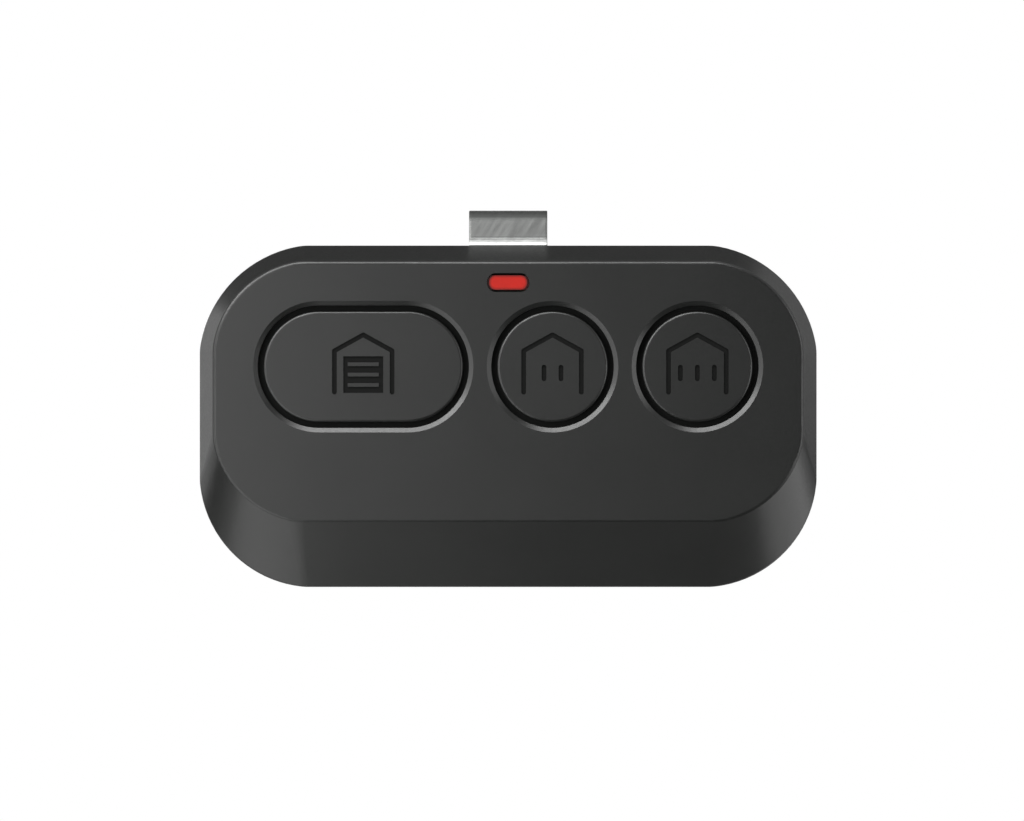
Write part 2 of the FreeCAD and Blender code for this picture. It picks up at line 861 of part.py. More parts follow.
def bend(before, at, after, radius):
    """Tangent points and middle of the arc that rounds the corner at, in (y, z)."""
    in_y, in_z = before[0] - at[0], before[1] - at[1]
    out_y, out_z = after[0] - at[0], after[1] - at[1]
    in_length = math.hypot(in_y, in_z)
    out_length = math.hypot(out_y, out_z)
    in_y, in_z = in_y / in_length, in_z / in_length
    out_y, out_z = out_y / out_length, out_z / out_length
    half_angle = math.acos(max(-1, min(1, in_y * out_y + in_z * out_z))) / 2
    cut = radius / math.tan(half_angle)
    start = (at[0] + in_y * cut, at[1] + in_z * cut)
    end = (at[0] + out_y * cut, at[1] + out_z * cut)
    bisector_y, bisector_z = in_y + out_y, in_z + out_z
    size = math.hypot(bisector_y, bisector_z)
    centre_distance = radius / math.sin(half_angle)
    centre = (at[0] + bisector_y / size * centre_distance, at[1] + bisector_z / size * centre_distance)
    middle = (centre[0] - bisector_y / size * radius, centre[1] - bisector_z / size * radius)
    return start, middle, end, centre


def bent_path(corners, radii, x):
    """Edges of a path in (y, z) whose inner corners are rounded."""
    edges = []
    last = corners[0]
    for before, at, after, radius in zip(corners, corners[1:], corners[2:], radii):
        start, middle, end, _ = bend(before, at, after, radius)
        edges.append(Part.LineSegment(point(x, *last), point(x, *start)).toShape())
        edges.append(Part.Arc(point(x, *start), point(x, *middle), point(x, *end)).toShape())
        last = end
    edges.append(Part.LineSegment(point(x, *last), point(x, *corners[-1])).toShape())
    return edges


def strip(corners, radii, width, sheet):
    """A sheet metal strip bent along a path in (y, z), centred on x = 0."""
    x = -width / 2
    centre_line = Part.Wire(bent_path(corners, radii, x))
    run_y = corners[1][0] - corners[0][0]
    run_z = corners[1][1] - corners[0][1]
    length = math.hypot(run_y, run_z)
    across_y = -run_z / length * sheet / 2
    across_z = run_y / length * sheet / 2
    start_y, start_z = corners[0]
    one_side = point(x, start_y + across_y, start_z + across_z)
    other_side = point(x, start_y - across_y, start_z - across_z)
    far_one = one_side + point(width, 0, 0)
    far_other = other_side + point(width, 0, 0)
    section = Part.makePolygon([one_side, other_side, far_other, far_one, one_side])
    return centre_line.makePipeShell([section], True, False)


def visor_clip_leg():
    """Leg in the pocket, the step back over the case edge and the first half of the top."""
    centre_top = clip_top_z - clip_sheet / 2
    corners = [
        (clip_leg_y, half_height - clip_leg_depth + pocket_gap),
        (clip_leg_y, half_height + clip_joggle_rise),
        (clip_upper_y, half_height + clip_joggle_rise + clip_joggle_height),
        (clip_upper_y, centre_top),
        (clip_hinge_y, centre_top),
    ]
    radii = [clip_joggle_radius, clip_joggle_radius, clip_bend_radius]
    leg = strip(corners, radii, clip_width, clip_sheet)
    hole_z = half_height - clip_leg_depth + clip_hole_rise
    return leg.cut(rod(0, hole_z, clip_hole_diameter, clip_leg_y - 1, clip_leg_y + 1))


def visor_clip_arm():
    """Second half of the top and the arm that presses the visor against the rear cover."""
    centre_top = clip_top_z - clip_sheet / 2
    corners = [
        (clip_hinge_y, centre_top),
        (clip_arm_y, centre_top),
        (clip_arm_y, centre_top - clip_arm_straight),
        (clip_pinch_y, clip_pinch_z),
        (clip_tip_y, clip_tip_z),
    ]
    radii = [clip_bend_radius, clip_arm_radius, clip_pinch_radius]
    arm = strip(corners, radii, clip_width, clip_sheet)
    lowest = arm.BoundBox.ZMin
    tip_edges = []
    for edge in arm.Edges:
        bounds = edge.BoundBox
        if bounds.XLength < 1e-4 and bounds.ZMin < lowest + clip_sheet and edge.Length < 2 * clip_sheet:
            tip_edges.append(edge)
    return arm.makeFillet(clip_tip_round, tip_edges)


def build():
    parts = {
        "front_shell": front_shell(),
        "rear_cover": rear_cover(),
        "status_lens": status_lens(),
        "status_led": status_led(),
        "circuit_board": circuit_board(),
        "board_screws": board_screws(),
        "battery_can": battery_can(),
        "battery_seal": battery_seal(),
        "battery_cap": battery_cap(),
        "battery_pad": battery_pad(),
        "battery_holder": battery_holder(),
        "positive_contact": positive_contact(),
        "negative_contact": negative_contact(),
        "microcontroller": chip(chip_x, chip_z, chip_size, chip_size, chip_height),
        "radio_crystal": chip(crystal_x, crystal_z, crystal_width, crystal_length, crystal_height),
        "board_capacitors": chip_row(
            capacitor_x,
            capacitor_z,
            capacitor_pitch,
            capacitor_count,
            capacitor_width,
            capacitor_length,
            capacitor_height,
        ),
        "board_resistors": chip_row(
            resistor_x,
            resistor_z,
            resistor_pitch,
            resistor_count,
            resistor_width,
            resistor_length,
            resistor_height,
        ),
        "loop_antenna": loop_antenna(),
        "visor_clip_leg": visor_clip_leg(),
        "visor_clip_arm": visor_clip_arm(),
    }
    for name, x, length in buttons:
        parts[f"{name}_button"] = button(name, x, length)
        parts[f"{name}_switch_base"] = switch_base(x)
        parts[f"{name}_snap_dome"] = snap_dome(x)
        parts[f"{name}_switch_plunger"] = switch_plunger(x)
        parts[f"{name}_switch_cover"] = switch_cover(x)
    return parts


os.makedirs("parts", exist_ok=True)
for node, shape in build().items():
    shape.exportStep(f"parts/{node}.step")
    bounds = shape.BoundBox
    print(
        node, len(shape.Solids), "solids", round(shape.Volume, 2), "mm3",
        "valid" if shape.isValid() else "NOT VALID",
        "y", round(bounds.YMin, 2), round(bounds.YMax, 2),
    )
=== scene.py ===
import bpy
import bmesh
import math
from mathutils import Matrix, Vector, noise


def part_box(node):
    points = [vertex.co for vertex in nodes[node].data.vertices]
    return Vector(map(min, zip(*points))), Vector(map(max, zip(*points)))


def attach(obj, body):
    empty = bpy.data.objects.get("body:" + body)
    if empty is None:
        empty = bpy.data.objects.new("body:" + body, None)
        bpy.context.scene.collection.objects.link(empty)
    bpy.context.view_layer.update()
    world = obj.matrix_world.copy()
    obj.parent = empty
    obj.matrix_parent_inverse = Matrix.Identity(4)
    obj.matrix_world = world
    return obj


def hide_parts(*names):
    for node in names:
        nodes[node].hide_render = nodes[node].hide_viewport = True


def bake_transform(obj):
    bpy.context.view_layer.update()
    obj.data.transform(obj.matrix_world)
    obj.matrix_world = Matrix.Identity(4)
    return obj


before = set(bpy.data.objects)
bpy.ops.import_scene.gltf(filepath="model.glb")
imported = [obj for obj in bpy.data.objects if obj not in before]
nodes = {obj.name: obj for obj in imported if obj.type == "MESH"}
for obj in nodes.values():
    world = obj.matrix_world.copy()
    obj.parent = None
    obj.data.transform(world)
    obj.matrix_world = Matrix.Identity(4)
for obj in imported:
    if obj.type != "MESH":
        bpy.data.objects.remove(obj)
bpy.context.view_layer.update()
mm = 0.001
print("frame loaded:", len(nodes), "nodes")


# Small helpers

def hexColour(code):
    # sRGB hex to the linear values that shaders take
    channels = [int(code[i:i + 2], 16) / 255 for i in (1, 3, 5)]
    linear = [c / 12.92 if c <= 0.04045 else ((c + 0.055) / 1.055) ** 2.4 for c in channels]
    return (*linear, 1.0)


def addNode(tree, kind, settings=None, links=None):
    # A setting goes to the socket of that name or number, or else to the node itself.
    # A link is written as input: (node, output).
    node = tree.nodes.new(kind)
    sockets = {}
    for name, value in (settings or {}).items():
        if isinstance(name, int) or name in node.inputs:
            sockets[name] = value
        else:
            setattr(node, name, value)
    for name, value in sockets.items():
        node.inputs[name].default_value = value
    for name, (source, output) in (links or {}).items():
        tree.links.new(source.outputs[output], node.inputs[name])
    return node


def newMaterial(name):
    material = bpy.data.materials.new(name)
    material.use_nodes = True
    material.node_tree.nodes.clear()
    return material, material.node_tree


def finishMaterial(tree, shader):
    addNode(tree, "ShaderNodeOutputMaterial", links={"Surface": (shader, 0)})


def dress(material, *names):
    for name in names:
        nodes[name].data.materials.clear()
        nodes[name].data.materials.append(material)


def newObject(name, data):
    piece = bpy.data.objects.new(name, data)
    bpy.context.scene.collection.objects.link(piece)
    return piece


def meshPiece(name, mesh, material, smooth=True):
    piece = newObject(name, mesh)
    mesh.materials.append(material)
    for face in mesh.polygons:
        face.use_smooth = smooth
    return piece


def finishedMesh(name, mesh):
    data = bpy.data.meshes.new(name)
    mesh.to_mesh(data)
    mesh.free()
    return data


def skinRings(mesh, rings):
    # Quads from ring to ring and a face on each end
    for ring, following in zip(rings, rings[1:]):
        for i in range(len(ring)):
            mesh.faces.new((ring[i - 1], ring[i], following[i], following[i - 1]))
    mesh.faces.new(rings[0])
    mesh.faces.new(rings[-1][::-1])
    bmesh.ops.recalc_face_normals(mesh, faces=mesh.faces)


noiseLimits = {"From Min": 0.3, "From Max": 0.7}  # a noise texture seldom leaves them
facingLimit = 0.5  # a normal that leans further than this along an axis faces that way


def glossSpan(roughness, smoother, rougher):
    # Settings that spread a noise over the roughness of a finish
    return {**noiseLimits, "To Min": roughness - smoother, "To Max": roughness + rougher}


# Camera: a long lens straight in front of the buttons

cameraSetup = {"distance": 1.2, "frameWidthMm": 139.45, "planeMm": -6.9, "xMm": 0.52, "zMm": 0.79,
               "sensor": 36.0, "clipEnd": 10.0}


def makeCamera(setup):
    data = bpy.data.cameras.new("camera")
    data.sensor_width = setup["sensor"]
    data.lens = setup["sensor"] * setup["distance"] / (setup["frameWidthMm"] * mm)
    data.clip_end = setup["clipEnd"]
    camera = newObject("camera", data)
    camera.location = (setup["xMm"] * mm, setup["planeMm"] * mm - setup["distance"], setup["zMm"] * mm)
    camera.rotation_euler = (math.pi / 2, 0, 0)
    bpy.context.scene.camera = camera


makeCamera(cameraSetup)
print("camera placed")


# Plastics

def mouldedAbs(tree, place, look):
    # ABS, injection moulded in a spark-eroded tool: a fine even grain that softens every highlight,
    # and a faint cloudiness where the melt cooled at different rates.
    grain = addNode(tree, "ShaderNodeTexNoise", {"Scale": 1 / (look["grainMm"] * mm), "Detail": 3.0},
                    {"Vector": (place, "Object")})
    cloud = addNode(tree, "ShaderNodeTexNoise", {"Scale": 1 / (look["cloudMm"] * mm), "Detail": 2.0},
                    {"Vector": (place, "Object")})
    tone = addNode(tree, "ShaderNodeMapRange", noiseLimits, {"Value": (cloud, "Fac")})
    colour = addNode(tree, "ShaderNodeMix", {"data_type": "RGBA", 6: hexColour(look["dark"]),
                                             7: hexColour(look["light"])}, {0: (tone, 0)})
    spread = look["roughnessSpread"]
    gloss = addNode(tree, "ShaderNodeMapRange", glossSpan(look["roughness"], spread, spread),
                    {"Value": (grain, "Fac")})
    bump = addNode(tree, "ShaderNodeBump", {"Strength": look["bump"], "Distance": look["bumpMm"] * mm},
                   {"Height": (grain, "Fac")})
    return addNode(tree, "ShaderNodeBsdfPrincipled", {"IOR": 1.5, "Specular IOR Level": look["specular"]},
                   {"Base Color": (colour, 2), "Roughness": (gloss, 0), "Normal": (bump, 0)})


caseLook = {"dark": "#181918", "light": "#1c1d1c", "roughness": 0.33, "roughnessSpread": 0.03,
            "specular": 0.3, "grainMm": 0.35, "cloudMm": 14.0, "bump": 0.12, "bumpMm": 0.02}
caseAbs, caseTree = newMaterial("caseAbs")
finishMaterial(caseTree, mouldedAbs(caseTree, addNode(caseTree, "ShaderNodeTexCoord"), caseLook))
dress(caseAbs, "front_shell", "rear_cover")


def inkedAbs(name, look, centreX, centreZ):
    # The caps are of the same ABS. Their engraved pictograms are filled with a matt black ink,
    # which takes the shine out of the strokes and makes them readable. The skirt below the face keeps
    # the coarse dull skin of the tool, so that the ring round each cap stays dark.
    material, tree = newMaterial(name)
    place = addNode(tree, "ShaderNodeTexCoord")
    shader = mouldedAbs(tree, place, look)
    apart = addNode(tree, "ShaderNodeSeparateXYZ", links={0: (place, "Object")})
    reach = look["inkReachMm"] * mm
    inX = addNode(tree, "ShaderNodeMath", {"operation": "COMPARE", 1: centreX, 2: reach}, {0: (apart, "X")})
    inZ = addNode(tree, "ShaderNodeMath", {"operation": "COMPARE", 1: centreZ, 2: reach}, {0: (apart, "Z")})
    square = addNode(tree, "ShaderNodeMath", {"operation": "MULTIPLY"}, {0: (inX, 0), 1: (inZ, 0)})
    depths = []
    for start, end in (look["inkDepthsMm"], look["skirtDepthsMm"]):
        depths.append(addNode(tree, "ShaderNodeMapRange", {"From Min": (look["faceMm"] + start) * mm,
                                                           "From Max": (look["faceMm"] + end) * mm},
                              {"Value": (apart, "Y")}))
    ink = addNode(tree, "ShaderNodeMath", {"operation": "MULTIPLY"}, {0: (square, 0), 1: (depths[0], 0)})
    dull = addNode(tree, "ShaderNodeMath", {"operation": "MAXIMUM"}, {0: (ink, 0), 1: (depths[1], 0)})
    tint = addNode(tree, "ShaderNodeMix", {"data_type": "RGBA", 6: hexColour(look["skirt"]),
                                           7: hexColour(look["ink"])}, {0: (ink, 0)})
    matt = addNode(tree, "ShaderNodeBsdfPrincipled", {"Roughness": look["inkRoughness"],
                                                      "Specular IOR Level": look["inkSpecular"]},
                   {"Base Color": (tint, 2)})
    finishMaterial(tree, addNode(tree, "ShaderNodeMixShader", links={0: (dull, 0), 1: (shader, 0),
                                                                    2: (matt, 0)}))
    return material


capLook = dict(caseLook, ink="#0c0d0c", inkSpecular=0.12, inkRoughness=0.95, inkReachMm=4.6, faceMm=-15.0,
               inkDepthsMm=(0.03, 0.1), skirt="#191a19", skirtDepthsMm=(0.4, 0.9))
for key in ("large", "middle", "right"):
    low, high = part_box(key + "_button")
    capAbs = inkedAbs(key + "CapAbs", capLook, (low.x + high.x) / 2, (low.z + high.z) / 2)
    dress(capAbs, key + "_button")
print("plastics done")


# Visor clip: one strip of spring steel, bent from the leg in the pocket over to the arm

clip = {"widthMm": 10.7, "sheetMm": 0.7, "edgeRoundMm": 0.12, "legBottomMm": (-3.0, 11.95),
        "joggleMm": ((-3.0, 23.35), (-1.9, 24.15)), "joggleRadiusMm": 0.7,
        "topMm": 27.8, "bendRadiusMm": 1.3, "armMm": 6.25, "straightEndMm": 13.8,
        "armRadiusMm": 12.0, "pinchMm": (0.6, -1.5), "pinchRadiusMm": 3.0, "tipMm": (3.3, -8.0),
        "tipRoundMm": 2.5, "footRoundMm": 0.6, "holeMm": 16.25, "holeDiameterMm": 3.0,
        "holeSides": 48, "cutSheets": 4, "creaseDegrees": 50, "stepMm": 0.25}


def roundedPath(corners, radii, step):
    # Points along straight runs whose corners are turned into arcs, at about one point a step
    longStep = step * 3  # for the straight runs between two arcs
    fewestSteps = 4  # in the shortest arc
    points = [Vector(corners[0])]
    for before, corner, after, radius in zip(corners, corners[1:], corners[2:], radii):
        before, corner, after = Vector(before), Vector(corner), Vector(after)
        into = (corner - before).normalized()
        out = (after - corner).normalized()
        turn = into.angle(out)
        reach = radius * math.tan(turn / 2)
        start = corner - into * reach
        centre = corner + (out - into).normalized() * radius / math.cos(turn / 2)
        run = start - points[-1]
        parts = max(1, math.ceil(run.length / longStep))
        points += [points[-1] + run * (i / parts) for i in range(1, parts + 1)]
        sign = math.copysign(1, into.x * out.y - into.y * out.x)
        arm = start - centre
        count = max(fewestSteps, math.ceil(radius * turn / step))
        for i in range(1, count + 1):
            angle = sign * turn * i / count
            points.append(centre + Vector((arm.x * math.cos(angle) - arm.y * math.sin(angle),
                                           arm.x * math.sin(angle) + arm.y * math.cos(angle))))
    run = Vector(corners[-1]) - points[-1]
    parts = max(1, math.ceil(run.length / step))
    return points + [points[-1] + run * (i / parts) for i in range(1, parts + 1)]


def clipPath(size):
    # Centre line of the strip in (y, z), in millimetres
    legTop, frontBottom = size["joggleMm"]
    corners = [size["legBottomMm"], legTop, frontBottom, (frontBottom[0], size["topMm"]),
               (size["armMm"], size["topMm"]), (size["armMm"], size["straightEndMm"]),
               size["pinchMm"], size["tipMm"]]
    radii = [size["joggleRadiusMm"], size["joggleRadiusMm"], size["bendRadiusMm"], size["bendRadiusMm"],
             size["armRadiusMm"], size["pinchRadiusMm"]]
    return roundedPath(corners, radii, size["stepMm"])


def endTrim(distance, radius):
    # How far an end's rounded corner draws the edge in, at that distance from the end
    if distance >= radius:
        return 0.0
    return radius - math.sqrt(max(radius ** 2 - (radius - distance) ** 2, 0.0))


def stripSection(halfWidth, halfSheet, edgeRound):
    # Closed section of the strip with small rounds on its four edges
    apart = 30  # degrees between the points of a round
    flatEnd = 3 * edgeRound  # a point this far in keeps the flat flat
    points = []
    for xSign, nSign, first in ((1, 1, 0), (-1, 1, 90), (-1, -1, 180), (1, -1, 270)):
        corner = []
        for degrees in range(first, first + 90 + apart, apart):
            turn = math.radians(degrees)
            corner.append((xSign * (halfWidth - edgeRound) + edgeRound * math.cos(turn),
                           nSign * (halfSheet - edgeRound) + edgeRound * math.sin(turn)))
        beside = (xSign * (halfWidth - flatEnd), nSign * halfSheet)
        points += corner + [beside] if first in (0, 180) else [beside] + corner
    return points


def stripMesh(size):
    path = clipPath(size)
    lengths = [0.0]
    for a, b in zip(path, path[1:]):
        lengths.append(lengths[-1] + (b - a).length)
    mesh = bmesh.new()
    rings = []
    for i, (spot, done) in enumerate(zip(path, lengths)):
        along = (path[min(i + 1, len(path) - 1)] - path[max(i - 1, 0)]).normalized()
        across = Vector((-along.y, along.x))
        trim = endTrim(lengths[-1] - done, size["tipRoundMm"]) + endTrim(done, size["footRoundMm"])
        section = stripSection(size["widthMm"] / 2 - trim, size["sheetMm"] / 2, size["edgeRoundMm"])
        rings.append([mesh.verts.new((x * mm, (spot.x + across.x * n) * mm, (spot.y + across.y * n) * mm))
                      for x, n in section])
    skinRings(mesh, rings)
    return finishedMesh("visorClip", mesh)


def punched(piece, size):
    # Cuts the detent hole through the leg
    radius = size["holeDiameterMm"] / 2 * mm
    tool = bmesh.new()
    bmesh.ops.create_cone(tool, cap_ends=True, segments=size["holeSides"], radius1=radius, radius2=radius,
                          depth=size["cutSheets"] * size["sheetMm"] * mm)
    for vertex in tool.verts:
        x, y, z = vertex.co
        vertex.co = (x, size["legBottomMm"][0] * mm - z, y + size["holeMm"] * mm)
    bmesh.ops.recalc_face_normals(tool, faces=tool.faces)
    cutter = newObject("holeTool", finishedMesh("holeTool", tool))
    cut = piece.modifiers.new("hole", "BOOLEAN")
    cut.object = cutter
    cut.solver = "EXACT"
    bpy.context.view_layer.update()
    result = bpy.data.meshes.new_from_object(piece.evaluated_get(bpy.context.evaluated_depsgraph_get()))
    piece.modifiers.clear()
    result.shade_smooth()
    result.set_sharp_from_angle(angle=math.radians(size["creaseDegrees"]))  # only the hole's rim is crisp
    piece.data = result
    bpy.data.objects.remove(cutter)


def markPlaces(piece):
    # The strip takes the place of the clip's leg and arm; its finish follows each point's place at rest
    marks = piece.data.attributes.new("restPlace", "FLOAT_VECTOR", "POINT")
    for vertex, mark in zip(piece.data.vertices, marks.data):
        mark.vector = vertex.co


def paintedSteelBands(tree, apart, look):
    # Painted shade and highlight: the grey of the strip's front at the height of each band's edge, in
    # millimetres
    low, high = look["rampMm"]
    height = addNode(tree, "ShaderNodeMapRange", {"From Min": low * mm, "From Max": high * mm},
                     {"Value": (apart, "Z")})
    ramp = addNode(tree, "ShaderNodeValToRGB", links={0: (height, 0)})
    stops = ramp.color_ramp.elements
    stops.remove(stops[1])
    for i, (z, code) in enumerate(look["paintedLightBands"]):
        share = (z - low) / (high - low)
        stop = stops[0] if i == 0 else stops.new(share)
        stop.position = share
        stop.color = hexColour(code)
    return ramp


def springSteel(name, look):
    # Spring steel strip, cold rolled, tempered and tumbled: a satin grey with faint slanting rub marks.
    # Its front is painted in bands by height: painted shade along the case's edge, above the step and over
    # the bend, and a painted highlight on the step. The bend is also rougher.
    material, tree = newMaterial(name)
    place = addNode(tree, "ShaderNodeAttribute", {"attribute_name": "restPlace"})
    apart = addNode(tree, "ShaderNodeSeparateXYZ", links={0: (place, "Vector")})
    across, along = look["rubMm"] * mm, look["rubLengthMm"] * mm
    slanted = addNode(tree, "ShaderNodeMapping", {"vector_type": "TEXTURE", "Scale": (across, across, along),
                                                  "Rotation": (0, math.radians(look["slant"]), 0)},
                      {"Vector": (place, "Vector")})
    rub = addNode(tree, "ShaderNodeTexNoise", {"Scale": 1.0, "Detail": 4.0, "Roughness": 0.6},
                  {"Vector": (slanted, 0)})
    fine = addNode(tree, "ShaderNodeTexNoise", {"Scale": 1 / (look["grainMm"] * mm), "Detail": 2.0},
                   {"Vector": (place, "Vector")})
    # Painted shade and highlight in bands up the strip's front, plain steel behind it
    paintedLightBands = paintedSteelBands(tree, apart, look)
    behind = addNode(tree, "ShaderNodeMapRange", {"From Min": look["frontMm"][0] * mm,
                                                  "From Max": look["frontMm"][1] * mm},
                     {"Value": (apart, "Y")})
    steel = addNode(tree, "ShaderNodeMix", {"data_type": "RGBA", 7: hexColour(look["plain"])},
                    {0: (behind, 0), 6: (paintedLightBands, 0)})
    marks = addNode(tree, "ShaderNodeMapRange", {**noiseLimits, "To Min": 1 - look["rubDepth"],
                                                 "To Max": 1 + look["rubDepth"]}, {"Value": (rub, "Fac")})
    colour = addNode(tree, "ShaderNodeVectorMath", {"operation": "SCALE"},
                     {0: (steel, 2), "Scale": (marks, 0)})
    spread = look["roughnessSpread"]
    gloss = addNode(tree, "ShaderNodeMapRange", glossSpan(look["roughness"], spread, spread),
                    {"Value": (rub, "Fac")})
    film = addNode(tree, "ShaderNodeMapRange", {"From Min": look["filmMm"][0] * mm,
                                                "From Max": look["filmMm"][1] * mm,
                                                "To Max": look["filmRoughness"]}, {"Value": (apart, "Z")})
    matter = addNode(tree, "ShaderNodeMath", {"operation": "ADD", "use_clamp": True},
                     {0: (gloss, 0), 1: (film, 0)})
    bump = addNode(tree, "ShaderNodeBump", {"Strength": look["bump"], "Distance": look["bumpMm"] * mm},
                   {"Height": (fine, "Fac")})
    shader = addNode(tree, "ShaderNodeBsdfPrincipled", {"Metallic": 1.0},
                     {"Base Color": (colour, 0), "Roughness": (matter, 0), "Normal": (bump, 0)})
    finishMaterial(tree, shader)
    return material


steelLook = {"slant": 32.0, "rubMm": 0.5, "rubLengthMm": 4.0, "rubDepth": 0.17, "grainMm": 0.3,
             "roughness": 0.42, "roughnessSpread": 0.03, "filmMm": (26.6, 27.3), "filmRoughness": 0.25,
             "bump": 0.1, "bumpMm": 0.01, "plain": "#747574", "frontMm": (-1.3, -0.7), "rampMm": (22.0, 30.0),
             "paintedLightBands": ((23.1, "#6c6d6c"), (23.4, "#303130"),  # painted shade along the edge of the case
                       (23.55, "#bebfbe"), (24.05, "#aeafae"),  # painted highlight on the step
                       (24.35, "#4d4e4d"), (24.65, "#6c6d6c"),  # painted shade above the step, then plain steel
                       (26.55, "#696a69"), (26.9, "#484948"), (27.25, "#363736"))}  # painted shade on the bend
clipSteel = springSteel("springSteel", steelLook)
visorClip = meshPiece("visorClip", stripMesh(clip), clipSteel)
punched(visorClip, clip)
markPlaces(visorClip)
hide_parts("visor_clip_leg", "visor_clip_arm")
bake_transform(visorClip)
print("visor clip done")


# Indicator window: a red lens

def paintedRimShade(tree, place, centreZ, look):
    # Mask of the painted shade: 0 over the middle of a window with round corners and 1 along its rim
    corner = look["cornerMm"]
    core = [(side / 2 - corner) * mm for side in look["windowMm"]]
    flat = addNode(tree, "ShaderNodeVectorMath", {"operation": "MULTIPLY_ADD", 1: (1, 0, 1),
                                                  2: (0, 0, -centreZ)}, {0: (place, "Object")})
    away = addNode(tree, "ShaderNodeVectorMath", {"operation": "ABSOLUTE"}, {0: (flat, 0)})
    past = addNode(tree, "ShaderNodeVectorMath", {"operation": "SUBTRACT", 1: (core[0], 0, core[1])},
                   {0: (away, 0)})
    beyond = addNode(tree, "ShaderNodeVectorMath", {"operation": "MAXIMUM"}, {0: (past, 0)})
    distance = addNode(tree, "ShaderNodeVectorMath", {"operation": "LENGTH"}, {0: (beyond, 0)})
    return addNode(tree, "ShaderNodeMapRange", {"interpolation_type": "SMOOTHSTEP",
                                                "From Min": (corner - look["rimMm"]) * mm,
                                                "From Max": corner * mm}, {"Value": (distance, "Value")})


def tintedPolycarbonate(name, look, centreZ):
    # Red polycarbonate, moulded and polished: smooth and glossy. Its rim is painted a deeper red as painted
    # shade, and a faint haze of flow marks runs through it.
    material, tree = newMaterial(name)
    place = addNode(tree, "ShaderNodeTexCoord")
    rim = paintedRimShade(tree, place, centreZ, look)
    haze = addNode(tree, "ShaderNodeTexNoise", {"Scale": 1 / (look["hazeMm"] * mm), "Detail": 2.0},
                   {"Vector": (place, "Object")})
    middle = addNode(tree, "ShaderNodeMix", {"data_type": "RGBA", 6: hexColour(look["deep"]),
                                             7: hexColour(look["body"])}, {0: (haze, "Fac")})
    colour = addNode(tree, "ShaderNodeMix", {"data_type": "RGBA", 7: hexColour(look["rim"])},
                     {0: (rim, 0), 6: (middle, 2)})
    shader = addNode(tree, "ShaderNodeBsdfPrincipled", {"IOR": 1.585, "Specular IOR Level": look["specular"],
                                                        "Roughness": look["roughness"]},
                     {"Base Color": (colour, 2)})
    finishMaterial(tree, shader)
    return material


# rim is the painted shade along the lens's edge, rimMm its width
lensLook = {"body": "#c41b0e", "deep": "#b41a0d", "rim": "#7c150e", "windowMm": (5.15, 1.95),
            "cornerMm": 0.9, "rimMm": 0.42, "hazeMm": 1.6, "specular": 0.22, "roughness": 0.2}
lensLow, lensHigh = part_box("status_lens")
dress(tintedPolycarbonate("redPolycarbonate", lensLook, (lensLow.z + lensHigh.z) / 2), "status_lens")


# Small parts inside: one material for each real finish

speckLimits = {"From Min": 0.45, "From Max": 0.75}  # only the tops of the noise are specks
speckDepthMm = 0.02


def speckledPlastic(name, look):
    # A filled or foggy plastic: an even body with fine specks, satin from the mould
    material, tree = newMaterial(name)
    place = addNode(tree, "ShaderNodeTexCoord")
    specks = addNode(tree, "ShaderNodeTexNoise", {"Scale": 1 / (look["speckMm"] * mm), "Detail": 2.0},
                     {"Vector": (place, "Object")})
    lit = addNode(tree, "ShaderNodeMapRange", speckLimits, {"Value": (specks, "Fac")})
    colour = addNode(tree, "ShaderNodeMix", {"data_type": "RGBA", 6: hexColour(look["body"]),
                                             7: hexColour(look["speck"])}, {0: (lit, 0)})
    bump = addNode(tree, "ShaderNodeBump", {"Strength": look["bump"], "Distance": speckDepthMm * mm},
                   {"Height": (specks, "Fac")})
    shader = addNode(tree, "ShaderNodeBsdfPrincipled", {"IOR": look["ior"], "Roughness": look["roughness"]},
                     {"Base Color": (colour, 2), "Normal": (bump, 0)})
    finishMaterial(tree, shader)
    return material


plasticLooks = {
    "milkyEpoxy": {"nodes": ("status_led",), "body": "#dcd8c2", "speck": "#efe9c9", "speckMm": 0.4,
                   "bump": 0.05, "ior": 1.54, "roughness": 0.3},  # cast resin: cloudy and slightly yellow
    "naturalPolypropylene": {"nodes": ("battery_seal",), "body": "#bdbbb2", "speck": "#cbc9c1",
                             "speckMm": 0.8, "bump": 0.05, "ior": 1.49,
                             "roughness": 0.5},  # undyed: waxy and milky
    "glassFilledNylon": {"nodes": ("battery_holder",
                                   "large_switch_base", "middle_switch_base", "right_switch_base",
                                   "large_switch_plunger", "middle_switch_plunger", "right_switch_plunger"),
                         "body": "#1b1b1d", "speck": "#2b2b2d", "speckMm": 0.25, "bump": 0.25,
                         "ior": 1.53, "roughness": 0.55},  # short fibres show as pale specks at the skin
    "mouldedEpoxy": {"nodes": ("microcontroller",), "body": "#232426", "speck": "#2c2d2f", "speckMm": 0.12,
                     "bump": 0.35, "ior": 1.56, "roughness": 0.62},  # silica filled: a fine dull grain
}
for name, look in plasticLooks.items():
    dress(speckledPlastic(name, look), *look["nodes"])

lineDepthMm = 0.01
lineGloss = (0.05, 0.07)  # how much smoother and rougher than the mean the lines get


